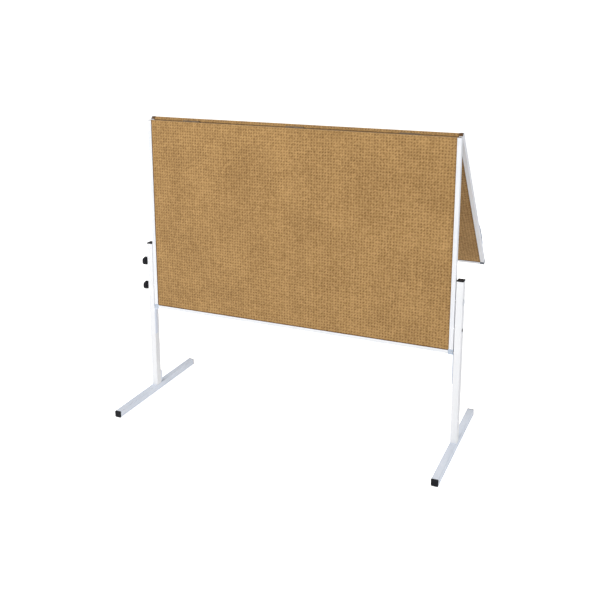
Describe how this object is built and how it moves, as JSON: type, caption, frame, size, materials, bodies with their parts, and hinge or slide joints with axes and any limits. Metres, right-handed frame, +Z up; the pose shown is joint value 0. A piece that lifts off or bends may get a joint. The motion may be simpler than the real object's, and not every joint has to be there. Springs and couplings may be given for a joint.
{
  "type": "folding pinboard",
  "caption": "Free-standing pinboard on T-shaped legs; the jute-covered lower half is clamped between two posts and the upper half folds back over the top edge.",
  "frame": {"origin": "on the floor, under the middle of the whole object's box in the pose shown", "axes": "+Z up, +X along the board's width to the viewer's right, -Y out of the pinning face"},
  "size_m": [1.28, 0.78, 1.1221],
  "materials": {
    "leg_paint": "satin white powder coat",
    "frame_aluminium": "white satin coated extrusion",
    "corner_plastic": "light blue-grey moulded plastic",
    "dark_plastic": "dark grey moulded plastic",
    "black_plastic": "black moulded plastic",
    "jute": "coarse plain-woven jute, tan",
    "core_board": "soft fibreboard",
    "zinc_steel": "bright zinc",
    "hinge_steel": "browned steel",
    "handle_metal": "satin grey",
    "glide_rubber": "black rubber"
  },
  "bodies": {
    "stand": {"foot_tube_left": "leg_paint", "foot_cap_front_left": "black_plastic", "foot_glide_front_left": "glide_rubber", "foot_cap_back_left": "black_plastic", "foot_glide_back_left": "glide_rubber", "post_tube_left": "leg_paint", "post_cap_left": "black_plastic", "post_gusset_left": "leg_paint", "board_rest_left": "leg_paint", "spacer_upper_left": "zinc_steel", "nut_block_upper_left": "zinc_steel", "spacer_lower_left": "zinc_steel", "nut_block_lower_left": "zinc_steel", "foot_tube_right": "leg_paint", "foot_cap_front_right": "black_plastic", "foot_glide_front_right": "glide_rubber", "foot_cap_back_right": "black_plastic", "foot_glide_back_right": "glide_rubber", "post_tube_right": "leg_paint", "post_cap_right": "black_plastic", "post_gusset_right": "leg_paint", "board_rest_right": "leg_paint", "spacer_upper_right": "zinc_steel", "nut_block_upper_right": "zinc_steel", "spacer_lower_right": "zinc_steel", "nut_block_lower_right": "zinc_steel", "post_screw_upper": "leg_paint", "post_screw_lower": "black_plastic", "lower_core": "core_board", "lower_jute": "jute", "lower_rail": "frame_aluminium", "lower_stile_left": "frame_aluminium", "lower_corner_left": "corner_plastic", "lower_stile_right": "frame_aluminium", "lower_corner_right": "corner_plastic", "lower_hinge_leaf_1": "hinge_steel", "lower_hinge_leaf_2": "hinge_steel", "lower_hinge_leaf_3": "hinge_steel", "hinge_pin_1": "hinge_steel", "hinge_pin_2": "hinge_steel", "hinge_pin_3": "hinge_steel"},
    "upper_half": {"upper_core": "core_board", "upper_jute": "jute", "upper_rail": "frame_aluminium", "upper_stile_left": "frame_aluminium", "upper_corner_left": "corner_plastic", "upper_stile_right": "frame_aluminium", "upper_corner_right": "dark_plastic", "upper_hinge_leaf_1": "hinge_steel", "upper_hinge_leaf_2": "hinge_steel", "upper_hinge_leaf_3": "hinge_steel", "upper_handle_left": "handle_metal", "upper_handle_right": "handle_metal"},
    "upper_knob": {"knob_upper": "black_plastic", "knob_stud_upper": "zinc_steel"},
    "lower_knob": {"knob_lower": "black_plastic", "knob_stud_lower": "zinc_steel"}
  },
  "joints": [
    {"name": "fold_hinge", "type": "hinge", "parent": "stand", "child": "upper_half", "pos_m": [0.00895, -0.11118, 1.11], "axis": [1, 0, 0], "range_deg": [-40.4, 139.6]},
    {"name": "upper_knob_turn", "type": "hinge", "parent": "stand", "child": "upper_knob", "pos_m": [-0.61805, -0.12198, 0.548], "axis": [1, 0, 0], "continuous": true},
    {"name": "lower_knob_turn", "type": "hinge", "parent": "stand", "child": "lower_knob", "pos_m": [-0.61805, -0.12198, 0.448], "axis": [1, 0, 0], "continuous": true}
  ]
}
